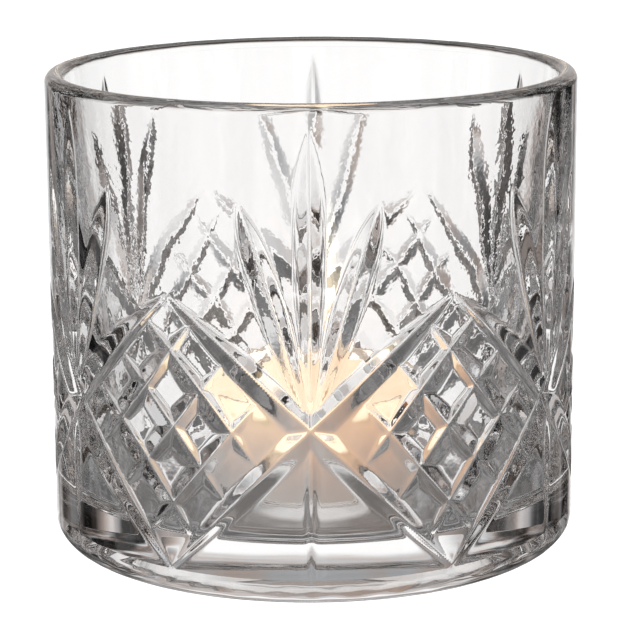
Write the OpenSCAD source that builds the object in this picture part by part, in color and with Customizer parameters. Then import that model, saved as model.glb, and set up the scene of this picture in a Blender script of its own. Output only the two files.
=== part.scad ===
// Tealight holder: a heavy clear glass cup, cut all round with fans of leaf-shaped
// V grooves and with lozenges of crossed grooves, and the tealight that stands in it.
// Origin: centre of the standing face. +Z is up, and one fan faces -Y. Millimetres.

/* [Glass body] */
// Outside diameter of the glass
glass_d = 90; // [84:1:100]
// Height of the glass, from the table to the rim
glass_h = 81; // [79:1:100]
// Thickness of the wall at the rim, which is a full round
rim_t = 3.4; // [2.8:0.1:4.4]
// How far the inside closes in for each millimetre down
inside_draft = 0.088; // [0.05:0.002:0.1]
// Thickness of the glass floor under the tealight
floor_t = 8.2; // [7:0.2:12]
// Radius between the inside wall and the floor
floor_fillet = 4; // [2:0.5:5]
// Radius of the outside corner at the base
base_round = 4.2; // [2:0.1:4.4]
// Inner radius of the flat ring that the glass stands on
ring_r = 34; // [30:1:37]
// Depth of the hollow under the base, inside the ring
punt_depth = 2.1; // [0.5:0.1:3]

/* [Cut pattern] */
// Repeats of the pattern round the glass
repeats = 6; // [5:1:6]
// Height of the crossing that each fan springs from
crossing_z = 29.1; // [28:0.1:30]
// Height of the upper corner of each lozenge
lozenge_top_z = 50.2; // [48:0.2:51]
// Height of the lower corner of each lozenge
lozenge_foot_z = 5.4; // [5:0.2:6]
// Height of the tip of each fan's upright ray
ray_top_z = 77; // [70:0.5:77]
// Height of the tips of each fan's leaning rays
side_ray_top_z = 65.6; // [60:0.2:68]
// Angle round the glass from a fan's middle to the tip of its leaning ray
side_ray_angle = 14.2; // [12:0.1:16]
// Height of the lower tip of the stem under each crossing
stem_foot_z = 4.8; // [4.4:0.1:6]
// Angle round the glass between neighbouring corners of the hatching
hatch_step_angle = 6.8; // [6:0.05:7]
// Height between neighbouring corners of the hatching
hatch_step_z = 6.25; // [5.8:0.05:6.4]
// How far each hatching groove runs from its middle, in steps
hatch_reach = 1.8; // [1.6:0.05:1.9]
// Depth of a groove for each millimetre of its half width
groove_slope = 0.62; // [0.5:0.02:0.7]
// Half width of the grooves round each lozenge
border_half_w = 2.5; // [2:0.1:2.7]
// Half width of the upright rays
ray_half_w = 2.3; // [1.8:0.1:2.4]
// Half width of the leaning rays
side_ray_half_w = 2.3; // [1.8:0.1:2.4]
// Half width of the stems
stem_half_w = 1.3; // [0.9:0.1:2]
// Half width of the hatching grooves
hatch_half_w = 2; // [1.6:0.1:2.1]

/* [Tealight] */
// Outside diameter of the tealight's clear plastic cup
cup_d = 38; // [36:0.5:40]
// Height of the cup
cup_h = 17.6; // [15:0.2:20]
// Thickness of the cup's wall and floor
cup_t = 0.6; // [0.4:0.1:1]
// How far the wax stays below the cup's rim
wax_below_rim = 2.4; // [1.6:0.2:5]
// Gap all round between the wax and the cup
wax_gap = 0.15; // [0.1:0.05:0.4]
// Diameter of the wick
wick_d = 1.6; // [1.2:0.1:2]
// How far the wick stands out of the wax
wick_out = 7; // [4:0.5:10]
// Diameter of the metal disc that holds the wick
sustainer_d = 12.5; // [10:0.5:14]
// Height of the neck on the disc
sustainer_neck_h = 3; // [2:0.5:5]

/* [Hidden] */
$fn = 96;

// Glass body
glass_r = glass_d / 2;
rim_r = rim_t / 2;
rim_z = glass_h - rim_r;
inside_top_r = glass_r - rim_t;
inside_floor_r = inside_top_r - inside_draft * (rim_z - floor_t);
punt_edge = 1.5;

// Cut pattern, set out as [angle round the glass, height]
half_repeat = 180 / repeats;
crossing = [0, crossing_z];
hatch_rise = 0.7;
hatch_middle = [half_repeat, (lozenge_top_z + lozenge_foot_z) / 2 + hatch_rise];
cutter_lift = 0.5;
tip_overrun = 0.03;
ray_steps = 7;
ray_peak = 0.62;
ray_powers = [2, 3];
stem_steps = 6;
stem_peak = 0.35;
stem_powers = [2, 1.3];
border_steps = 12;
border_powers = [2.6, 2.6];
hatch_steps = 6;

// Tealight
cup_r = cup_d / 2;
cup_floor_z = floor_t + cup_t;
cup_rim_z = floor_t + cup_h;
wax_r = cup_r - cup_t - wax_gap;
wax_top_z = cup_rim_z - wax_below_rim;
wick_r = wick_d / 2;
wick_gap = 0.05;
sustainer_t = 0.3;
neck_t = 0.35;
neck_r = wick_r + wick_gap + neck_t;
wick_bend_r = 6;
wick_bend_angle = 25;
wick_straight_z = wax_top_z + wick_out - wick_bend_r * sin(wick_bend_angle);

// How deep and wide a leaf-shaped groove is at t from 0 to 1 along it, as a share of
// its most, which it has at t = peak. It is 0 at both tips and below 0 past them, and
// the two powers say how full it is before and after the peak.
function leaf(t, peak, powers) = t < peak
    ? 1 - pow(1 - t / peak, powers[0])
    : 1 - pow((t - peak) / (1 - peak), powers[1]);

// The curve from one point through a second, at t = 0.5, to a third
function along(from, via, to, t) =
    from * (1 - t) * (1 - 2 * t) + via * 4 * t * (1 - t) + to * t * (2 * t - 1);

// A point set out on the glass, as a distance round it and a height
function flat(p) = [glass_r * p[0] * PI / 180, p[1]];

// A point at a distance round the glass, a height and a radius
function in_space(p, r) =
    let (angle = p[0] / glass_r * 180 / PI) [r * sin(angle), -r * cos(angle), p[1]];

// The three corners of the cutter where it crosses the groove: the valley, then the
// two edges, which are just outside the glass
function cutter_section(from, via, to, t, half_w, share) =
    let (
        here = flat(along(from, via, to, t)),
        ahead = flat(along(from, via, to, t + 0.01)),
        way = (ahead - here) / norm(ahead - here),
        across = [-way[1], way[0]],
        reach = half_w * share + cutter_lift / groove_slope,
        valley_r = glass_r - half_w * share * groove_slope
    )
    [
        in_space(here, valley_r),
        in_space(here + across * reach, glass_r + cutter_lift),
        in_space(here - across * reach, glass_r + cutter_lift)
    ];

// One leaf-shaped V groove's cutter, swept round the glass
module groove(from, via, to, half_w, steps, peak = 0.5, powers = [2, 2]) {
    sections = [
        for (i = [0 : steps])
            let (t = -tip_overrun + (1 + 2 * tip_overrun) * i / steps)
            cutter_section(from, via, to, t, half_w, leaf(t, peak, powers))
    ];
    last = 3 * steps;
    polyhedron(
        points = [for (section = sections) each section],
        faces = concat(
            [[0, 1, 2], [last, last + 2, last + 1]],
            [
                for (i = [0 : 3 : last - 3]) for (side = [0 : 2])
                    let (near = i + side, next = i + (side + 1) % 3)
                    each [[near, near + 3, next + 3], [near, next + 3, next]]
            ]
        )
    );
}

// A groove whose line on the glass is straight
module straight_groove(from, to, half_w, steps, peak = 0.5, powers = [2, 2])
    groove(from, (from + to) / 2, to, half_w, steps, peak, powers);

// The rays and the stem that meet at one crossing
module fan_grooves() {
    straight_groove(crossing, [0, ray_top_z], ray_half_w, ray_steps, ray_peak, ray_powers);
    for (side = [-1, 1])
        straight_groove(
            crossing, [side * side_ray_angle, side_ray_top_z], side_ray_half_w,
            ray_steps, ray_peak, ray_powers
        );
    straight_groove(crossing, [0, stem_foot_z], stem_half_w, stem_steps, stem_peak, stem_powers);
}

// The two long grooves that cross there, each from the top of one lozenge to the
// foot of the next
module border_grooves() {
    for (side = [-1, 1])
        groove(
            [-side * half_repeat, lozenge_top_z], crossing,
            [side * half_repeat, lozenge_foot_z], border_half_w,
            border_steps, powers = border_powers
        );
}

// The crossed grooves inside one lozenge
module hatch_grooves() {
    for (slant = [-1, 1]) {
        run = [hatch_step_angle, slant * hatch_step_z];
        aside = [hatch_step_angle, -slant * hatch_step_z];
        for (i = [-1 : 1]) {
            middle = hatch_middle + aside * i;
            straight_groove(
                middle - run * hatch_reach, middle + run * hatch_reach, hatch_half_w, hatch_steps
            );
        }
    }
}

// Outline of the glass on one side of its axis, before it is cut
module glass_outline() {
    difference() {
        union() {
            translate([0, base_round]) square([glass_r, rim_z - base_round]);
            square([glass_r - base_round, base_round]);
            translate([glass_r - base_round, base_round]) circle(base_round);
            translate([glass_r - rim_r, rim_z]) circle(rim_r);
        }
        inside_outline();
        polygon([
            [-1, -1], [ring_r + 1, -1], [ring_r, 0], [ring_r - punt_edge, punt_depth], [-1, punt_depth]
        ]);
    }
}

// Outline of the space inside the glass: its floor, a fillet and the drafted wall
module inside_outline() {
    lean = atan(inside_draft);
    fillet_x = inside_floor_r - floor_fillet * (1 - sin(lean)) / cos(lean);
    fillet_z = floor_t + floor_fillet;
    wall_foot_x = fillet_x + floor_fillet * cos(lean);
    wall_foot_z = fillet_z - floor_fillet * sin(lean);
    union() {
        polygon([
            [-1, floor_t], [fillet_x, floor_t], [fillet_x, fillet_z], [wall_foot_x, wall_foot_z],
            [inside_top_r, rim_z], [inside_top_r, glass_h + 1], [-1, glass_h + 1]
        ]);
        intersection() {
            translate([fillet_x, fillet_z]) circle(floor_fillet);
            translate([fillet_x, floor_t]) square([floor_fillet, floor_fillet]);
        }
    }
}

// The glass holder, with every groove cut
module glass_holder() {
    color([0.9, 0.93, 0.94, 0.5])
    difference() {
        rotate_extrude() glass_outline();
        for (i = [0 : repeats - 1]) rotate([0, 0, i * 360 / repeats]) {
            fan_grooves();
            border_grooves();
            hatch_grooves();
        }
    }
}

// The tealight's clear plastic cup
module tealight_cup() {
    color([0.92, 0.92, 0.9, 0.5])
    translate([0, 0, floor_t])
    difference() {
        cylinder(r = cup_r, h = cup_h);
        translate([0, 0, cup_t]) cylinder(r = cup_r - cup_t, h = cup_h);
    }
}

// The wax, with a hole for the wick and a hollow underneath for the disc and its neck
module candle_wax() {
    color([0.93, 0.84, 0.74])
    difference() {
        translate([0, 0, cup_floor_z]) cylinder(r = wax_r, h = wax_top_z - cup_floor_z);
        translate([0, 0, cup_floor_z - 1]) cylinder(r = wick_r + wick_gap, h = cup_h);
        translate([0, 0, cup_floor_z - 1])
            cylinder(r = neck_r + wick_gap, h = 1 + sustainer_t + sustainer_neck_h + wick_gap);
        translate([0, 0, cup_floor_z - 1])
            cylinder(r = sustainer_d / 2 + wick_gap, h = 1 + sustainer_t + wick_gap);
    }
}

// The braided wick, upright and then bent over at its burnt end
module wick() {
    foot_z = cup_floor_z + sustainer_t;
    color([0.25, 0.2, 0.17])
    union() {
        translate([0, 0, foot_z]) cylinder(r = wick_r, h = wick_straight_z - foot_z);
        translate([wick_bend_r, 0, wick_straight_z])
        rotate([90, 0, 180])
        rotate_extrude(angle = wick_bend_angle)
            translate([wick_bend_r, 0]) circle(wick_r);
    }
}

// The metal disc and neck that hold the wick's foot
module wick_sustainer() {
    color([0.75, 0.76, 0.77])
    translate([0, 0, cup_floor_z])
    union() {
        cylinder(r = sustainer_d / 2, h = sustainer_t);
        difference() {
            cylinder(r = neck_r, h = sustainer_t + sustainer_neck_h);
            translate([0, 0, sustainer_t]) cylinder(r = wick_r + wick_gap, h = sustainer_neck_h + 1);
        }
    }
}

glass_holder();
tealight_cup();
candle_wax();
wick();
wick_sustainer();
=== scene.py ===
"""The looks of the tealight holder: its cut glass, the lit tealight inside and a pale studio."""
import math

import bpy
import numpy as np
from mathutils import Matrix, Vector


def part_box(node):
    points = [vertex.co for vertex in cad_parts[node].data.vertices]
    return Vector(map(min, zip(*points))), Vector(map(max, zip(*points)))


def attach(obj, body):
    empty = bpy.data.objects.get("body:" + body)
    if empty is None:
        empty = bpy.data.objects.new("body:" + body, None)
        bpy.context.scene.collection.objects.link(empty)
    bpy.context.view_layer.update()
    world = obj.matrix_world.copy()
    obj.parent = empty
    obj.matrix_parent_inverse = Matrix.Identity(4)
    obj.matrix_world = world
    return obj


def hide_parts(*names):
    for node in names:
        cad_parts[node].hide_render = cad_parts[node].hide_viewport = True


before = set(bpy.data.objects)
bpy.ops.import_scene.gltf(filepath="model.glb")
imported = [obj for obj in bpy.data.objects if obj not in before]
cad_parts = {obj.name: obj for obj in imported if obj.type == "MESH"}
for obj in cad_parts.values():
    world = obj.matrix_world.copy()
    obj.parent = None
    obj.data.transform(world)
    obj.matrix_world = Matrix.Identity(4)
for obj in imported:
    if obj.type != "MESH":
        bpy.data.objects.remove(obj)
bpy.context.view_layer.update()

MM = 0.001

# ---------------------------------------------------------------- sizes, in millimetres


def node_box(node):
    """A CAD node's lowest and highest corner, in millimetres."""
    return [np.array(corner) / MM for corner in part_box(node)]


_, glass_high = node_box("glass_holder")
cup_low, cup_high = node_box("tealight_cup")
wax_low, wax_high = node_box("candle_wax")
wick_low, wick_high = node_box("wick")
disc_low, disc_high = node_box("wick_sustainer")

GLASS_R = glass_high[0]
GLASS_H = glass_high[2]
RIM_T = 3.4
INSIDE_DRAFT = 0.088
FLOOR_Z = cup_low[2]
AIR_GAP = 0.05  # under the cup, or light inside the glass meets two surfaces in one place
FLOOR_FILLET = 4.0
BASE_ROUND = 4.2
RING_R = 34.0
PUNT_DEPTH = 2.1
PUNT_EDGE = 1.5

# Unevenness of the glass, as ripples() takes it
PRESS_MARKS = {"seed": 8, "wavelength": 1.2, "height": 0.016}
RIM_STREAKS = {"seed": 9, "wavelength": 1.1, "height": 0.01}
INSIDE_WAVES = {"seed": 3, "wavelength": 9, "height": 0.02}
STREAK = (0.35, 0.35, 1)  # marks run further round the glass than up it
PRESS_FADE = 0.8  # the heights over which the marks and the streaks fade out
RIM_FADE = 0.4

# The cut pattern, set out as (degrees round the glass, height)
REPEATS = 6
HALF_REPEAT = 180 / REPEATS
CROSSING = (0, 29.1)
LOZENGE_TOP = 50.2
LOZENGE_FOOT = 5.4
RAY_TOP = 77.0
SIDE_RAY_TOP = (14.2, 65.6)
STEM_FOOT = (0, 4.8)
HATCH_MIDDLE = np.array([HALF_REPEAT, 28.5])
HATCH_STEP = np.array([6.8, 6.25])
HATCH_REACH = 1.8
RAY_HALF_W = 2.3
STEM_HALF_W = 1.3
BORDER_HALF_W = 2.5
HATCH_HALF_W = 2.0
GROOVE_SLOPE = 0.62
VALLEY_ROUND = 0.5
EDGE_SOFTNESS = 0.11

# How a groove narrows: where along it its width is most, and how it falls off either side
RAY_LEAF = {"peak": 0.62, "powers": (2, 3)}
STEM_LEAF = {"peak": 0.35, "powers": (2, 1.3)}
BORDER_LEAF = {"peak": 0.5, "powers": (2.6, 2.6)}
HATCH_LEAF = {"peak": 0.5, "powers": (2, 2)}

# The tealight
CUP_R = cup_high[0]
CUP_WALL = 0.6
CUP_CORNER = 1.4
CUP_DRAFT = 0.35
CUP_DENT = 0.3
CUP_DENT_R = 8
CUP_STAND_R = 9
WAX_R = wax_high[0]
WAX_SHOULDER = 0.7
WAX_FOOT_GAP = 0.4
WAX_FOOT_EDGE = 0.6
POOL_R = 15.5
POOL_DEPTH = 0.35
CLIMB_H = 0.5  # of the pool, up the wick
CLIMB_REACH = 0.8
DISC_R = disc_high[0]
DISC_T = 0.3
DISC_LIP = 0.12
DISC_GROOVE = ((4.6, 0), (4.3, -0.12), (3.7, -0.12), (3.4, 0))  # radius, and height past the top
NECK_R = 1.2
NECK_FLARE = 0.35
NECK_FLARE_H = 0.5
NECK_EDGE = 0.1
CRIMP_DEPTH = 0.14
WICK_R = wick_high[1]
WICK_BEND_DEG = 25
WICK_BEND_Z = wax_high[2] + 1.4
WICK_STRANDS = 3
WICK_TURNS = 2.6
WICK_CORE = 0.86  # mean radius and the strands' swell, as shares of WICK_R
WICK_STRAND_H = 0.12
FLAME_FOOT_Z = wax_high[2] + 3.4
FLAME_H = 30.0
FLAME_SWELL = 6.25  # times the teardrop's curve, which is 0.4 at its widest
FLAME_SHELLS = (1.0, 0.8, 0.6, 0.4, 0.2)
FLAME_HEART = 0.3  # the height that the shells shrink towards, as a share
FLAME_LEAN = 3.2
FLAME_TAPER = 0.9
FLAME_TIP_R = 0.02

# How finely the glass is made
GLASS_COLUMNS = 720
TEALIGHT_COLUMNS = 144
DISC_COLUMNS = 48
CUT_LOW = 4.4
CUT_DENSE_TOP = 51.0
CUT_TOP = 78.0
DENSE_ROW = 0.36
OPEN_ROW = 0.6
FLAT_STEPS = 5
BASE_STEPS = 16
RIM_STEPS = 14
WELL_STEPS = 18
FILLET_STEPS = 8


# ---------------------------------------------------------------- turned shapes

def line(start, end, steps=1):
    """A straight stretch of an outline: points and outward directions as (radius, height)."""
    share = np.linspace(0, 1, steps + 1)[:, None]
    points = np.array(start, float) * (1 - share) + np.array(end, float) * share
    run = points[-1] - points[0]
    outward = np.array([run[1], -run[0]]) / np.linalg.norm(run)
    return points, np.tile(outward, (steps + 1, 1))


def arc(centre, radius, first, last, steps, hollow=False):
    """A round stretch of an outline, from first to last degrees."""
    angle = np.radians(np.linspace(first, last, steps + 1))
    outward = np.stack([np.cos(angle), np.sin(angle)], 1)
    return np.array(centre) + radius * outward, -outward if hollow else outward


def relief_normals(points, outward, relief, reach):
    """The outward directions once relief has moved the surface along outward."""
    steps = np.eye(3) * reach
    slope = np.stack([(relief(points + s) - relief(points - s)) / (2 * reach) for s in steps], -1)
    slope -= (slope * outward).sum(-1, keepdims=True) * outward
    made = outward - slope
    return made / np.linalg.norm(made, axis=-1, keepdims=True)


def turned_rows(section, ring):
    """Points or directions of an outline, each turned round the axis into a row of (x, y, z)."""
    level = section[:, None, :1] * ring
    height = np.broadcast_to(section[:, None, 1:], (len(section), len(ring), 1))
    return np.concatenate([level, height], 2)


def turned_faces(bands, columns, inner):
    """Faces and their corner normals, for inner rows of points between two points on the axis."""
    tips = np.full(columns, inner * columns)
    index = np.vstack([tips, np.arange(inner * columns).reshape(inner, columns), tips + 1])
    after = np.roll(index, -1, 1)
    faces, normals, row = [], [], 0
    for facing in bands:
        for low, high in zip(facing, facing[1:]):
            low_next, high_next = np.roll(low, -1, 0), np.roll(high, -1, 0)
            a, b, c, d = index[row], after[row], after[row + 1], index[row + 1]
            if row == 0:
                corners, ways = (a, c, d), (low, high_next, high)
            elif row == inner:
                corners, ways = (a, b, c), (low, low_next, high)
            else:
                corners, ways = (a, b, c, d), (low, low_next, high_next, high)
            faces += np.stack(corners, 1).tolist()
            normals += np.stack(ways, 1).reshape(-1, 3).tolist()
            row += 1
    return faces, normals


def turned_object(name, outline, columns, reliefs=None, reach=0.15):
    """A closed solid turned round +Z from stretches that start and end on the axis.

    reliefs gives, for the number of a stretch, how far its points move outward, as a
    function of their places. reach is the half width that its slope is taken over.
    """
    angle = np.arange(columns) * 2 * math.pi / columns
    ring = np.stack([np.sin(angle), -np.cos(angle)], 1)
    rows, bands = [], []
    for number, (section, outward) in enumerate(outline):
        place = turned_rows(section, ring)
        facing = turned_rows(outward, ring)
        relief = (reliefs or {}).get(number)
        if relief:
            turned = relief_normals(place, facing, relief, reach)
            place = place + facing * relief(place)[..., None]
            facing = turned
        rows.extend(place if not rows else place[1:])
        bands.append(facing)
    rows = np.array(rows)
    inner = len(rows) - 2
    points = np.concatenate([rows[1:-1].reshape(-1, 3), rows[0, :1], rows[-1, :1]])
    faces, normals = turned_faces(bands, columns, inner)
    made = mesh_object(name, points, faces)
    made.data.normals_split_custom_set(normals)
    return made


def mesh_object(name, points, faces):
    """A smooth mesh object from points in millimetres, linked to the scene."""
    mesh = bpy.data.meshes.new(name)
    mesh.from_pydata((np.asarray(points) * MM).tolist(), [], faces)
    mesh.polygons.foreach_set("use_smooth", np.ones(len(mesh.polygons), bool))
    made = bpy.data.objects.new(name, mesh)
    bpy.context.scene.collection.objects.link(made)
    return made


def ripples(seed, wavelength, height):
    """A gentle unevenness: a function of places that sums waves running every way."""
    draw = np.random.default_rng(seed)
    count = 14
    ways = draw.normal(size=(count, 3))
    ways /= np.linalg.norm(ways, axis=1)[:, None]
    lengths = wavelength * draw.uniform(0.7, 1.6, count)
    starts = draw.uniform(0, 2 * math.pi, count)

    def relief(points):
        total = np.zeros(points.shape[:-1])
        for way, length, start in zip(ways, lengths, starts):
            total += np.sin(points @ way * 2 * math.pi / length + start)
        return total * height / math.sqrt(count)

    return relief


# ---------------------------------------------------------------- the cut pattern

def groove(start, end, half_w, leaf, via=None):
    """One leaf-shaped V groove: its line from start through via to end, and its shape."""
    start, end = np.array(start, float), np.array(end, float)
    via = (start + end) / 2 if via is None else np.array(via, float)
    return {"points": (start, via, end), "half_w": half_w, **leaf}


def grooves_of_one_repeat():
    """The grooves of one fan and of the lozenge beside it."""
    made = [groove(CROSSING, (0, RAY_TOP), RAY_HALF_W, RAY_LEAF)]
    for side in (-1, 1):
        tip = (side * SIDE_RAY_TOP[0], SIDE_RAY_TOP[1])
        made.append(groove(CROSSING, tip, RAY_HALF_W, RAY_LEAF))
    made.append(groove(CROSSING, STEM_FOOT, STEM_HALF_W, STEM_LEAF))
    for side in (-1, 1):
        top = (-side * HALF_REPEAT, LOZENGE_TOP)
        foot = (side * HALF_REPEAT, LOZENGE_FOOT)
        made.append(groove(top, foot, BORDER_HALF_W, BORDER_LEAF, via=CROSSING))
    for slant in (-1, 1):
        run = HATCH_STEP * (1, slant) * HATCH_REACH
        aside = HATCH_STEP * (1, -slant)
        for i in (-1, 0, 1):
            middle = HATCH_MIDDLE + aside * i
            made.append(groove(middle - run, middle + run, HATCH_HALF_W, HATCH_LEAF))
    return made


def leaf_share(t, peak, powers):
    """A leaf's width at t along it, as a share of its most: 0 at both tips, below 0 past them."""
    first = 1 - np.abs(1 - t / peak) ** powers[0] * np.sign(1 - t / peak)
    last = 1 - np.abs((t - peak) / (1 - peak)) ** powers[1] * np.sign(t - peak)
    return np.where(t < peak, first, last)


def flat(points):
    """Points given as (degrees, height), as (distance round the glass, height)."""
    return np.array(points, float) * (GLASS_R * math.pi / 180, 1)


def valley_height(v):
    """How far above the sharp V's foot the rounded section is, at v across the groove."""
    wall = math.atan(GROOVE_SLOPE)
    reach = VALLEY_ROUND * math.sin(wall)
    inner = np.clip(v, -reach, reach)
    round_part = VALLEY_ROUND / math.cos(wall) - np.sqrt(VALLEY_ROUND ** 2 - inner ** 2)
    return np.where(np.abs(v) < reach, round_part, GROOVE_SLOPE * np.abs(v))


def groove_depth(item, points):
    """How deep a groove is at unrolled points, below 0 beside it.

    The groove's line is a parabola through a, b and c. Each pass moves t, the way along it,
    nearer to the line's closest point.
    """
    a, b, c = (flat(p) for p in item["points"])
    t = (points - a) @ (c - a) / ((c - a) @ (c - a))
    for _ in range(3):
        s = np.clip(t, -0.1, 1.1)[:, None]
        place = a * (1 - s) * (1 - 2 * s) + b * 4 * s * (1 - s) + c * s * (2 * s - 1)
        rate = a * (4 * s - 3) + b * (4 - 8 * s) + c * (4 * s - 1)
        off = points - place
        speed = np.einsum("ij,ij->i", rate, rate)
        t = s[:, 0] + np.einsum("ij,ij->i", off, rate) / speed
    v = (off[:, 1] * rate[:, 0] - off[:, 0] * rate[:, 1]) / np.sqrt(speed)
    width = item["half_w"] * leaf_share(s[:, 0], item["peak"], item["powers"])
    return GROOVE_SLOPE * width - valley_height(v)


def cut_relief(places):
    """How far the cut pattern moves places on the glass's outside, with its edges eased."""
    angle = np.arctan2(places[..., 0], -places[..., 1])
    repeat = 2 * math.pi / REPEATS
    folded = (angle + repeat / 2) % repeat - repeat / 2
    spots = np.stack([(folded * GLASS_R).ravel(), places[..., 2].ravel()], 1)
    total = np.ones(len(spots))
    margin = BORDER_HALF_W
    for item in grooves_of_one_repeat():
        corners = np.array([flat(p) for p in item["points"]])
        for turn in (-1, 0, 1):
            shift = (turn * repeat * GLASS_R, 0)
            low, high = corners.min(0) + shift - margin, corners.max(0) + shift + margin
            near = np.flatnonzero(((spots > low) & (spots < high)).all(1))
            if len(near):
                total[near] += np.exp(groove_depth(item, spots[near] - shift) / EDGE_SOFTNESS)
    return -(EDGE_SOFTNESS * np.log(total)).reshape(places.shape[:-1])


# ---------------------------------------------------------------- the glass

def glass_outline():
    """The glass's outline from the axis underneath, round the outside and rim, to the axis inside."""
    rim_r = RIM_T / 2
    rim_z = GLASS_H - rim_r
    top_r = GLASS_R - RIM_T
    lean = math.atan(INSIDE_DRAFT)
    floor_r = top_r - INSIDE_DRAFT * (rim_z - FLOOR_Z)
    fillet_x = floor_r - FLOOR_FILLET * (1 - math.sin(lean)) / math.cos(lean)
    fillet_z = FLOOR_Z + FLOOR_FILLET
    foot = (fillet_x + FLOOR_FILLET * math.cos(lean), fillet_z - FLOOR_FILLET * math.sin(lean))
    base_x = GLASS_R - BASE_ROUND
    heights = np.concatenate([
        [BASE_ROUND],
        np.arange(CUT_LOW, CUT_DENSE_TOP, DENSE_ROW),
        np.arange(CUT_DENSE_TOP, CUT_TOP, OPEN_ROW),
        [CUT_TOP, rim_z],
    ])
    wall = np.stack([np.full(len(heights), GLASS_R), heights], 1)
    return [
        line((0, PUNT_DEPTH), (RING_R - PUNT_EDGE, PUNT_DEPTH), FLAT_STEPS),
        line((RING_R - PUNT_EDGE, PUNT_DEPTH), (RING_R, 0)),
        line((RING_R, 0), (base_x, 0)),
        arc((base_x, BASE_ROUND), BASE_ROUND, -90, 0, BASE_STEPS),
        (wall, np.tile((1.0, 0.0), (len(heights), 1))),
        arc((GLASS_R - rim_r, rim_z), rim_r, 0, 180, RIM_STEPS),
        line((top_r, rim_z), foot, WELL_STEPS),
        arc((fillet_x, fillet_z), FLOOR_FILLET, -math.degrees(lean), -90, FILLET_STEPS, hollow=True),
        line((fillet_x, FLOOR_Z), (0, FLOOR_Z), FLAT_STEPS),
    ]


def base_relief(places):
    """Press marks on the base's round corner, which fade out at the standing ring and the wall."""
    edge = np.minimum(places[..., 2], BASE_ROUND - places[..., 2])
    return ripples(**PRESS_MARKS)(places * STREAK) * np.clip(edge / PRESS_FADE, 0, 1)


def rim_relief(places):
    """Fine streaks along the fire-polished rim, which fade out at its foot."""
    edge = places[..., 2] - GLASS_H + RIM_T / 2
    return ripples(**RIM_STREAKS)(places * STREAK) * np.clip(edge / RIM_FADE, 0, 1)


def make_glass():
    """The glass, with its cut pattern outside and a gentle unevenness inside."""
    base_corner, cut_wall, rim, inside_wall = 3, 4, 5, 6
    reliefs = {
        base_corner: base_relief,
        cut_wall: cut_relief,
        rim: rim_relief,
        inside_wall: ripples(**INSIDE_WAVES),
    }
    return turned_object("cut_glass", glass_outline(), GLASS_COLUMNS, reliefs)


# ---------------------------------------------------------------- the tealight

def make_cup():
    """The clear plastic cup: a thin wall with a rounded rim and a soft corner at its foot."""
    low, high = FLOOR_Z + AIR_GAP, cup_high[2]
    dent = low + CUP_DENT
    flat_r, inner = CUP_R - CUP_CORNER - CUP_DRAFT, CUP_R - CUP_WALL
    corner, lip = CUP_CORNER, CUP_WALL / 2
    outside_wall, inside_wall = 4, 6
    reliefs = {outside_wall: ripples(11, 6, 0.012), inside_wall: ripples(12, 7, 0.012)}
    outline = [
        line((0, dent), (CUP_DENT_R, dent), 2),
        line((CUP_DENT_R, dent), (CUP_STAND_R, low)),
        line((CUP_STAND_R, low), (flat_r, low), 2),
        arc((flat_r, low + corner), corner, -90, 0, 8),
        line((CUP_R - CUP_DRAFT, low + corner), (CUP_R, high - lip), 8),
        arc((CUP_R - lip, high - lip), lip, 0, 180, 8),
        line((inner, high - lip), (inner - CUP_DRAFT, low + corner), 8),
        arc((flat_r, low + corner), corner - CUP_WALL, 0, -90, 8, hollow=True),
        line((flat_r, low + CUP_WALL), (0, low + CUP_WALL), 3),
    ]
    return turned_object("clear_cup", outline, TEALIGHT_COLUMNS, reliefs)


def make_wax():
    """The wax slug: a rounded shoulder, and a shallow melted pool that climbs round the wick."""
    low, high = wax_low[2], wax_high[2]
    foot_r = WAX_R - CUP_DRAFT - WAX_FOOT_GAP
    pool = np.linspace(POOL_R, 0, 24)
    dip = POOL_DEPTH * (1 - (pool / POOL_R) ** 6)
    climb = CLIMB_H * np.exp(-np.maximum(pool - WICK_R, 0) / CLIMB_REACH)
    section = np.stack([pool, high - dip + climb], 1)
    fall = np.gradient(section[:, 1], section[:, 0])
    outward = np.stack([-fall, np.ones_like(fall)], 1) / np.hypot(fall, 1)[:, None]
    edge, shoulder = WAX_FOOT_EDGE, WAX_SHOULDER
    side, bank = 2, 4
    reliefs = {side: ripples(21, 5, 0.02), bank: ripples(22, 4, 0.03)}
    outline = [
        line((0, low), (foot_r - edge, low), 2),
        line((foot_r - edge, low), (foot_r, low + edge)),
        line((foot_r, low + edge), (WAX_R, high - shoulder), 10),
        arc((WAX_R - shoulder, high - shoulder), shoulder, 0, 90, 8),
        line((WAX_R - shoulder, high), (POOL_R, high), 2),
        (section, outward),
    ]
    return turned_object("wax_slug", outline, TEALIGHT_COLUMNS, reliefs)


def swept_object(name, line_points, outline, columns):
    """A closed solid swept along a line, where outline gives its radius by share and angle."""
    line_points = np.array(line_points, float)
    way = np.gradient(line_points, axis=0)
    way /= np.linalg.norm(way, axis=1)[:, None]
    side = np.tile([0.0, 1.0, 0.0], (len(way), 1))
    across = np.cross(side, way)
    across /= np.linalg.norm(across, axis=1)[:, None]
    angle = np.arange(columns) * 2 * math.pi / columns
    share = np.linspace(0, 1, len(way))[:, None]
    radius = outline(share, angle[None, :])[..., None]
    cosine, sine = np.cos(angle)[None, :, None], np.sin(angle)[None, :, None]
    ring = cosine * across[:, None, :] + sine * side[:, None, :]
    points = (line_points[:, None, :] + radius * ring).reshape(-1, 3)
    points = np.concatenate([points, line_points[:1], line_points[-1:]])
    faces, last = [], len(way) - 1
    for j in range(columns):
        k = (j + 1) % columns
        faces.append([len(points) - 2, k, j])
        faces.append([last * columns + j, last * columns + k, len(points) - 1])
        for i in range(last):
            a, b = i * columns, (i + 1) * columns
            faces.append([a + j, a + k, b + k, b + j])
    return mesh_object(name, points, faces)


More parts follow.
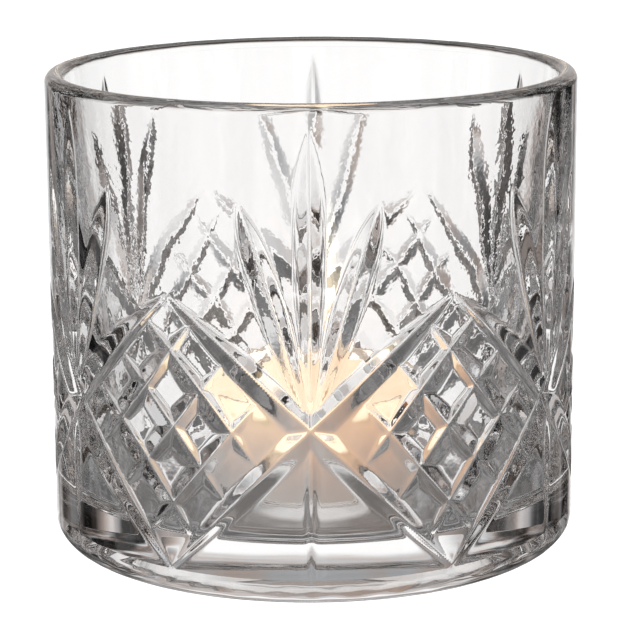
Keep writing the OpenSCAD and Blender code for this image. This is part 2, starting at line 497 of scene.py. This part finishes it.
def wick_line(steps):
    """The wick's middle line: straight up, then over to +X."""
    low, high = wick_low[2], wick_high[2] - WICK_R * math.sin(math.radians(WICK_BEND_DEG))
    heights = np.linspace(low, high, steps)
    over = np.maximum(heights - WICK_BEND_Z, 0) * math.tan(math.radians(WICK_BEND_DEG))
    return np.stack([over, np.zeros(steps), heights], 1)


def make_wick():
    """The braided wick: strands twisted round each other, drawn in at the burnt tip."""
    def strand(share, angle):
        turn = WICK_STRANDS * (angle - share * WICK_TURNS * 2 * math.pi)
        tip = np.clip((1 - share) * 9, 0.25, 1)
        return WICK_R * tip ** 0.5 * (WICK_CORE + WICK_STRAND_H * np.cos(turn))

    return swept_object("braided_wick", wick_line(90), strand, 24)


def make_disc():
    """The wick's foot: a thin tinned disc with a pressed ring and a neck crimped on the wick."""
    low, neck_top = disc_low[2], disc_high[2]
    top = low + DISC_T
    flat_r, flare_r = DISC_R - DISC_LIP, NECK_R + NECK_FLARE
    flare_z, edge_z = top + NECK_FLARE_H, neck_top - NECK_EDGE
    groove_points = [(radius, top + height) for radius, height in DISC_GROOVE]
    neck_wall = 8

    def crimp(places):
        turn = 2 * np.arctan2(places[..., 0], places[..., 1])
        return -CRIMP_DEPTH * np.cos(turn) - CRIMP_DEPTH

    outline = [
        line((0, low), (flat_r, low)),
        arc((flat_r, low + DISC_T / 2), DISC_T / 2, -90, 90, 6),
        line((flat_r, top), groove_points[0], 2),
        *(line(*stretch) for stretch in zip(groove_points, groove_points[1:])),
        line(groove_points[-1], (flare_r, top)),
        line((flare_r, top), (NECK_R, flare_z)),
        line((NECK_R, flare_z), (NECK_R, edge_z), 6),
        line((NECK_R, edge_z), (NECK_R - NECK_EDGE, neck_top)),
        line((NECK_R - NECK_EDGE, neck_top), (0, neck_top)),
    ]
    return turned_object("wick_foot", outline, DISC_COLUMNS, {neck_wall: crimp})


def make_flame():
    """The flame: nested teardrop shells over the wick's tip, each adding a little light."""
    steps, around = 32, 24
    share = np.linspace(0, 1, steps)
    tip = wick_line(2)[-1, 0]
    shells = []
    for size in FLAME_SHELLS:
        heights = FLAME_FOOT_Z + FLAME_H * (share * size + (1 - size) * FLAME_HEART)
        rise = (heights - FLAME_FOOT_Z) / FLAME_H
        over = tip * np.minimum(rise * 4, 1) + (FLAME_LEAN - tip) * rise ** 1.5
        middle = np.stack([over, np.zeros(steps), heights], 1)
        swell = size * FLAME_SWELL

        def teardrop(share, angle, swell=swell):
            curve = np.sqrt(np.clip(share, 0, 1)) * (1 - share) ** FLAME_TAPER
            return swell * curve + 0 * angle + FLAME_TIP_R

        shells.append(swept_object("flame", middle, teardrop, around))
    flame = shells[0]
    with bpy.context.temp_override(active_object=flame, selected_editable_objects=shells):
        bpy.ops.object.join()
    return flame


# ---------------------------------------------------------------- materials

FLAME_GLOW = 0.09
# painted light: how brightly the wax itself glows, standing in for the flame's light inside it
WAX_PAINTED_GLOW = 0.88
PAINTED_SHADE_REACH = 14  # painted shade: the wax's painted glow grows warmer and dimmer from this far left to this far right
# painted light: how brightly the cup's band at the wax's top glows
CUP_PAINTED_GLOW = 0.16
EMBER_GLOW = 0.25
CHILL_HEIGHT = 0.03
CHILL_LENGTH = 3.2
FINE_LENGTH = 0.9
FINE_SHARE = 0.35
INSIDE_R = GLASS_R - 2.75  # between the inside wall and the cut outside, at any height


class Graph:
    """Adds linked nodes to a material's tree."""

    def __init__(self, material):
        self.nodes = material.node_tree.nodes
        self.links = material.node_tree.links

    def add(self, kind, inputs=(), **settings):
        """A node with its settings, and its inputs as values or as other nodes' sockets."""
        node = self.nodes.new(kind)
        for setting, value in settings.items():
            setattr(node, setting, value)
        for key, value in dict(inputs).items():
            if isinstance(value, bpy.types.NodeSocket):
                self.links.new(value, node.inputs[key])
            else:
                node.inputs[key].default_value = value
        return node

    def math(self, operation, *values):
        """The result of one math node."""
        return self.add("ShaderNodeMath", enumerate(values), operation=operation).outputs[0]

    def span(self, value, low, high, first=0.0, last=1.0):
        """value's way from low to high, eased, as first to last."""
        inputs = {"Value": value, "From Min": low, "From Max": high, "To Min": first, "To Max": last}
        made = self.add("ShaderNodeMapRange", inputs, interpolation_type="SMOOTHSTEP")
        return made.outputs[0]

    def window(self, value, middle, half, soft):
        """1 where value is within half of middle, falling to 0 over soft either side."""
        off = self.math("ABSOLUTE", self.math("SUBTRACT", value, middle))
        return self.span(off, half - soft, half + soft, 1.0, 0.0)

    def place(self):
        """The place on the piece, in millimetres, and its three parts."""
        inputs = {0: self.add("ShaderNodeTexCoord").outputs["Object"], "Scale": 1 / MM}
        place = self.add("ShaderNodeVectorMath", inputs, operation="SCALE").outputs[0]
        return place, self.add("ShaderNodeSeparateXYZ", {0: place}).outputs

    def radius(self, axes):
        """The distance from the axis, from the three parts of a place."""
        squares = [self.math("MULTIPLY", axis, axis) for axis in axes[:2]]
        return self.math("SQRT", self.math("ADD", *squares))

    def scaled(self, place, by):
        """A place with each of its parts scaled by its own number."""
        return self.add("ShaderNodeVectorMath", {0: place, 1: by}, operation="MULTIPLY").outputs[0]

    def share(self, value, low, high):
        """value's way from low to high, even, from 0 to 1 and past them."""
        return self.math("DIVIDE", self.math("SUBTRACT", value, low), high - low)

    def noise(self, place, wavelength, detail=2.0):
        """Noise from 0 to 1 with features of about one wavelength, in the place's own unit."""
        inputs = {"Vector": place, "Scale": 1 / wavelength, "Detail": detail}
        return self.add("ShaderNodeTexNoise", inputs).outputs[0]

    def mottled(self, place, wavelength, low, high):
        """An uneven level that is mostly near low, with brighter patches up to high."""
        spots = self.span(self.noise(place, wavelength, 3.0), 0.38, 0.64)
        return self.math("MULTIPLY_ADD", self.math("POWER", spots, 2), high - low, low)

    def ramp(self, value, *stops):
        """A colour by value: stops are (value, red, green, blue)."""
        node = self.add("ShaderNodeValToRGB", {0: value})
        elements = node.color_ramp.elements
        while len(elements) < len(stops):
            elements.new(0.5)
        for element, (at, *color) in zip(elements, stops):
            element.position = at
            element.color = (*color, 1)
        return node.outputs[0]

    def bump(self, height, distance):
        """A bump of height 0 to 1 over a distance in millimetres."""
        inputs = {"Height": height, "Distance": distance * MM, "Strength": 1.0}
        return self.add("ShaderNodeBump", inputs).outputs[0]


def new_material(name, **values):
    """A material, its graph and its Principled shader with some sockets set."""
    material = bpy.data.materials.new(name)
    material.use_nodes = True
    shader = material.node_tree.nodes["Principled BSDF"]
    for socket, value in values.items():
        shader.inputs[socket.replace("_", " ")].default_value = value
    return material, Graph(material), shader


def glass_material():
    """Clear pressed glass, with fine chill ripples on its inside wall."""
    material, graph, shader = new_material(
        "clear_glass", IOR=1.52, Transmission_Weight=1.0, Roughness=0.0,
        Base_Color=(0.985, 0.978, 0.975, 1),
    )
    place, axes = graph.place()
    within = graph.span(graph.radius(axes), INSIDE_R + 0.35, INSIDE_R - 0.35)
    above_floor = graph.span(axes[2], FLOOR_Z + 2, FLOOR_Z + 8)
    inside = graph.math("MULTIPLY", within, above_floor)
    upright = graph.scaled(place, (1, 1, 0.6))
    fine = graph.math("MULTIPLY", graph.noise(place, FINE_LENGTH, 1.0), FINE_SHARE)
    chill = graph.math("ADD", graph.noise(upright, CHILL_LENGTH, 1.0), fine)
    chill = graph.math("MULTIPLY", chill, inside)
    graph.links.new(graph.bump(chill, CHILL_HEIGHT), shader.inputs["Normal"])
    return material


def cup_material():
    """Clear moulded plastic, a little hazy, with a painted glow near its rim, for flame light on a film
    of wax there.
    """
    material, graph, shader = new_material(
        "clear_plastic", IOR=1.5, Transmission_Weight=1.0, Base_Color=(0.98, 0.97, 0.95, 1),
    )
    place, axes = graph.place()
    haze = graph.noise(place, 4)
    # painted light: a glowing band round the cup at the wax's top, standing in for flame light on a film
    # of wax
    painted_glow_band = graph.span(axes[2], wax_high[2] - 0.5, wax_high[2] + 0.3)
    graph.links.new(graph.math("MULTIPLY", painted_glow_band, CUP_PAINTED_GLOW), shader.inputs["Emission Strength"])
    shader.inputs["Emission Color"].default_value = (1.0, 0.80, 0.60, 1)
    graph.links.new(graph.span(haze, 0.3, 0.8, 0.02, 0.12), shader.inputs["Roughness"])
    graph.links.new(graph.bump(haze, 0.02), shader.inputs["Normal"])
    return material


def wax_material():
    """Paraffin wax with a painted glow for the flame's light in it: bright and warm near its top, paler
    and dimmer below.
    """
    material, graph, shader = new_material("wax", IOR=1.44)
    place, axes = graph.place()
    mottle = graph.noise(place, 3.5, 4)
    uneven = graph.math("MULTIPLY", graph.math("SUBTRACT", mottle, 0.5), 0.3)
    height = graph.math("ADD", graph.share(axes[2], wax_low[2], wax_high[2]), uneven)
    # painted light: the colour of the wax's glow by height, brightest just below its top and dimmer below
    color = graph.ramp(
        height,
        (0.0, 0.50, 0.49, 0.49),
        (0.3, 0.56, 0.50, 0.48),
        (0.6, 0.76, 0.60, 0.50),
        (0.9, 1.0, 0.75, 0.55),
        (1.0, 0.80, 0.64, 0.42),
    )
    # painted shade: the wax's glow dims and warms towards +X
    from_left = graph.span(axes[0], -PAINTED_SHADE_REACH, PAINTED_SHADE_REACH)
    painted_side_shade = graph.ramp(from_left, (0.0, 1.0, 1.0, 1.0), (1.0, 0.9, 0.78, 0.7))
    mixed = {0: 1.0, 6: color, 7: painted_side_shade}  # a mix of colours: its factor and its two colours
    glow = graph.add("ShaderNodeMix", mixed, data_type="RGBA", blend_type="MULTIPLY")
    graph.links.new(glow.outputs[2], shader.inputs["Emission Color"])
    shader.inputs["Base Color"].default_value = (0.36, 0.31, 0.25, 1)
    shader.inputs["Emission Strength"].default_value = WAX_PAINTED_GLOW
    pool = graph.span(axes[2], wax_high[2] - 0.6, wax_high[2] - 0.1, 0.55, 0.12)
    graph.links.new(pool, shader.inputs["Roughness"])
    graph.links.new(graph.bump(mottle, 0.04), shader.inputs["Normal"])
    return material


def wick_material():
    """Cotton: white where the wax soaks it, scorched above, charred with a glowing tip."""
    material, graph, shader = new_material("wick_cotton", Roughness=0.9)
    place, axes = graph.place()
    height = graph.math("ADD", axes[2], graph.math("MULTIPLY", graph.noise(place, 0.6), 0.8))
    share = graph.share(height, wax_high[2], wick_high[2])
    color = graph.ramp(
        share,
        (0.0, 0.80, 0.72, 0.60),
        (0.18, 0.35, 0.20, 0.10),
        (0.4, 0.02, 0.015, 0.01),
    )
    graph.links.new(color, shader.inputs["Base Color"])
    ember = graph.ramp(share, (0.84, 0.0, 0.0, 0.0), (0.98, 1.0, 0.25, 0.04))
    graph.links.new(ember, shader.inputs["Emission Color"])
    shader.inputs["Emission Strength"].default_value = EMBER_GLOW
    graph.links.new(graph.bump(graph.noise(place, 0.3, 3), 0.06), shader.inputs["Normal"])
    return material


def tin_material():
    """Tinned steel, dull and faintly brushed."""
    material, graph, shader = new_material("tinned_steel", Metallic=1.0)
    place, _ = graph.place()
    brushed = graph.noise(graph.scaled(place, (6, 0.6, 1)), 1.0, 3)
    color = graph.ramp(brushed, (0.3, 0.62, 0.61, 0.59), (0.7, 0.78, 0.77, 0.75))
    graph.links.new(color, shader.inputs["Base Color"])
    graph.links.new(graph.span(brushed, 0.2, 0.8, 0.28, 0.45), shader.inputs["Roughness"])
    return material


def flame_material():
    """Light added by each flame shell: bluish at the foot, amber round the wick, then cream."""
    material, graph, shader = new_material("flame")
    graph.nodes.remove(shader)
    _, axes = graph.place()
    share = graph.share(axes[2], FLAME_FOOT_Z, FLAME_FOOT_Z + FLAME_H)
    color = graph.ramp(
        share,
        (0.0, 0.15, 0.22, 0.6),
        (0.15, 1.0, 0.60, 0.3),
        (0.4, 1.0, 0.80, 0.5),
        (0.8, 1.0, 0.92, 0.7),
    )
    strength = graph.span(share, 0.0, 0.4, FLAME_GLOW * 0.3, FLAME_GLOW)
    light = graph.add("ShaderNodeEmission", {"Color": color, "Strength": strength}).outputs[0]
    clear = graph.add("ShaderNodeBsdfTransparent").outputs[0]
    both = graph.add("ShaderNodeAddShader", {0: light, 1: clear}).outputs[0]
    output = graph.nodes["Material Output"]
    graph.links.new(both, output.inputs["Surface"])
    return material


# ---------------------------------------------------------------- studio

CAMERA_DISTANCE = 431.9
CAMERA_HEIGHT = 137.1
CAMERA_PITCH = 12.886
CAMERA_TURN = 0.575
CAMERA_ROLL = -0.41
CAMERA_LENS = 147.5

FLOOR_R = 6  # in metres, as is TENT_R
FLOOR_SHADE = 0.93
FLOOR_ROUGHNESS = 0.8
TENT_R = 5
TENT_Z = 40
TENT_MOTTLE = 0.25  # the size of its patches, as a share of its radius
TABLE_MOTTLE = 30  # the size of patches on the discs below the floor
TABLE_SPREAD = (0.5, 1.35)  # of a disc's level, in its dull and its bright patches
WORLD_STRENGTH = 1.5
LIGHT_BOUNCES = 12
FLAME_WATTS = 0.04


def make_camera():
    """The camera, a little above the rim and looking down at the glass."""
    camera = bpy.data.objects.new("camera", bpy.data.cameras.new("camera"))
    camera.data.lens = CAMERA_LENS
    camera.data.sensor_width = 36
    turn = math.radians(CAMERA_TURN)
    place = Vector((math.sin(turn), -math.cos(turn), 0)) * CAMERA_DISTANCE + Vector((0, 0, CAMERA_HEIGHT))
    facing = (
        Matrix.Rotation(turn, 4, "Z")
        @ Matrix.Rotation(math.radians(90 - CAMERA_PITCH), 4, "X")
        @ Matrix.Rotation(math.radians(CAMERA_ROLL), 4, "Z")
    )
    camera.matrix_world = Matrix.Translation(place * MM) @ facing
    camera.data.clip_start = 0.01
    bpy.context.scene.collection.objects.link(camera)
    bpy.context.scene.camera = camera


def make_flame_light():
    """The light that the flame throws on the wax."""
    light = bpy.data.lights.new("flame_light", "POINT")
    light.energy = FLAME_WATTS
    light.color = (1.0, 0.8, 0.55)
    light.shadow_soft_size = 3 * MM
    lamp = bpy.data.objects.new("flame_light", light)
    lamp.location = (2 * MM, 0, (FLAME_FOOT_Z + FLAME_H / 2) * MM)
    lamp.visible_glossy = False
    lamp.visible_transmission = False
    lamp.visible_diffuse = False
    bpy.context.scene.collection.objects.link(lamp)


def make_world():
    """An even white light on everything but glass and gloss, which see the tent."""
    world = bpy.data.worlds.new("studio")
    bpy.context.scene.world = world
    world.use_nodes = True
    world.node_tree.nodes["Background"].inputs["Color"].default_value = (1, 1, 1, 1)
    world.node_tree.nodes["Background"].inputs["Strength"].default_value = WORLD_STRENGTH


def make_floor():
    """A wide pale floor. The glass and the gloss see the tent in its place."""
    bpy.ops.mesh.primitive_circle_add(vertices=64, radius=FLOOR_R, fill_type="NGON")
    floor = bpy.context.object
    floor.name = "floor"
    shade = (FLOOR_SHADE, FLOOR_SHADE, FLOOR_SHADE, 1)
    material, _, _ = new_material("pale_floor", Base_Color=shade, Roughness=FLOOR_ROUGHNESS)
    floor.data.materials.append(material)
    floor.visible_transmission = False
    floor.visible_glossy = False


def tent_level(graph, unit):
    """How bright the tent is in each direction: a lit panel low behind, in a dim, uneven room.

    Angles are in degrees. Azimuth is 0 behind the glass and grows towards +X.
    """
    axes = graph.add("ShaderNodeSeparateXYZ", {0: unit}).outputs
    azimuth = graph.math("MULTIPLY", graph.math("ARCTAN2", axes[0], axes[1]), 180 / math.pi)
    elevation = graph.math("MULTIPLY", graph.math("ARCSINE", axes[2]), 180 / math.pi)
    side = graph.math("ABSOLUTE", azimuth)
    front = graph.math("SUBTRACT", 1, graph.window(azimuth, 0, 95, 8))
    slats = graph.window(graph.math("PINGPONG", azimuth, 22.5), 0, 6, 2)
    everywhere = graph.window(azimuth, 0, 200, 1)
    room = graph.mottled(unit, TENT_MOTTLE, 0.02, 0.95)
    backdrop = graph.mottled(unit, TENT_MOTTLE, 0.01, 0.75)
    dark_backdrop = graph.math("MULTIPLY", backdrop, 0.25)
    # where round the glass, then elevation as (middle, half, soft), then brightness
    patches = (
        (front, (-38, 24, 6), 0.36),  # low in front
        (slats, (-16, 24, 4), 0.7),  # low slats, one every 45 degrees
        (graph.window(azimuth, 0, 56, 8), (-2, 52, 6), backdrop),
        (graph.window(side, 62, 18, 6), (3, 25, 6), dark_backdrop),  # either side of it
        (graph.window(azimuth, 0, 24, 5), (22, 15, 5), 0.36),  # dim above the panel
        (graph.window(azimuth, 0, 20, 4), (6, 9, 3), 0.6),  # the panel's dimmer top
        (graph.window(azimuth, -1, 22, 5), (-15, 12, 7), 1.08),  # the panel, low behind
        (everywhere, (-90, 30, 8), 0.7),  # straight below
        (everywhere, (80, 18, 6), 0.5),  # straight above
    )
    level = room
    for around, up, brightness in patches:
        mask = graph.math("MULTIPLY", around, graph.window(elevation, *up))
        mixed = {"Factor": mask, "A": level, "B": brightness}
        level = graph.add("ShaderNodeMix", mixed).outputs[0]
    return level


def tent_material():
    """The light that glass sees, by direction. Its dim parts are a little blue or pink."""
    material = bpy.data.materials.new("studio_tent")
    material.use_nodes = True
    graph = Graph(material)
    graph.nodes.clear()
    place = graph.add("ShaderNodeTexCoord").outputs["Object"]
    unit = graph.add("ShaderNodeVectorMath", {0: place}, operation="NORMALIZE").outputs[0]
    level = tent_level(graph, unit)
    blotch = graph.add("ShaderNodeTexNoise", {"Vector": unit, "Scale": 7.0, "Detail": 1.0}).outputs[0]
    shade = graph.ramp(graph.span(blotch, 0.4, 0.6), (0.0, 0.95, 0.97, 1.0), (1.0, 1.0, 0.84, 0.76))
    whiteness = graph.span(level, 0.4, 0.9)
    mixed = {0: whiteness, 6: shade, 7: (1, 1, 1, 1)}  # a mix of colours: factor, two colours
    tint = graph.add("ShaderNodeMix", mixed, data_type="RGBA").outputs[2]
    light = graph.add("ShaderNodeEmission", {"Color": tint, "Strength": level})
    graph.add("ShaderNodeOutputMaterial", {0: light.outputs[0]})
    return material


def make_tent():
    """A shell round the set that only glass and gloss see."""
    middle = (0, 0, TENT_Z * MM)
    bpy.ops.mesh.primitive_uv_sphere_add(segments=64, ring_count=32, radius=TENT_R, location=middle)
    tent = bpy.context.object
    tent.name = "studio_tent"
    tent.data.materials.append(tent_material())
    tent.visible_camera = False
    tent.visible_diffuse = False
    tent.visible_shadow = False


def make_shade(name, height, radius, half, soft, level):
    """A level disc below the floor, seen only by glass and gloss: a ring of light or shade.

    The ring is within half of radius, and fades over soft either side. Past it the disc is clear.
    """
    bpy.ops.mesh.primitive_circle_add(
        vertices=64,
        radius=(radius + half + soft) * MM,
        fill_type="NGON",
        location=(0, 0, height * MM),
    )
    disc = bpy.context.object
    disc.name = name
    material, graph, shader = new_material(name)
    graph.nodes.remove(shader)
    place, axes = graph.place()
    mottled = graph.mottled(place, TABLE_MOTTLE, *(level * share for share in TABLE_SPREAD))
    light = graph.add("ShaderNodeEmission", {"Strength": mottled}).outputs[0]
    clear = graph.add("ShaderNodeBsdfTransparent").outputs[0]
    mask = graph.window(graph.radius(axes), radius, half, soft)
    mixed = graph.add("ShaderNodeMixShader", {0: mask, 1: clear, 2: light}).outputs[0]
    graph.links.new(mixed, graph.nodes["Material Output"].inputs["Surface"])
    disc.data.materials.append(material)
    disc.visible_camera = False
    disc.visible_diffuse = False
    disc.visible_shadow = False


def set_light_paths():
    """Enough bounces for light inside the thick base, and plain display of its tones."""
    scene = bpy.context.scene
    scene.view_settings.view_transform = "Standard"
    scene.cycles.max_bounces = LIGHT_BOUNCES
    scene.cycles.glossy_bounces = LIGHT_BOUNCES
    scene.cycles.transmission_bounces = LIGHT_BOUNCES
    scene.cycles.transparent_max_bounces = LIGHT_BOUNCES * 2


set_light_paths()
PIECES = (
    (make_glass(), glass_material(), "holder", "glass_holder", "clear_glass"),
    (make_cup(), cup_material(), "cup", "tealight_cup", "clear_plastic"),
    (make_wax(), wax_material(), "candle", "candle_wax", "wax"),
    (make_wick(), wick_material(), "candle", "wick", "wick_cotton"),
    (make_disc(), tin_material(), "candle", "wick_sustainer", "tinned_steel"),
)
for piece, material, body, node, slot in PIECES:
    piece.data.materials.append(material)
    piece.visible_diffuse = node != "glass_holder"  # the glass dims nothing on the floor
    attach(piece, body)
    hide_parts(node)

flame = make_flame()
flame.data.materials.append(flame_material())
flame.visible_diffuse = False
flame.visible_shadow = False
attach(flame, "candle")

make_flame_light()
make_camera()
make_world()
make_floor()
make_tent()
make_shade("candle_glow_below", height=-0.4, radius=0, half=12, soft=1.5, level=0.6)
make_shade("table_shade", height=-60, radius=115, half=75, soft=8, level=0.24)
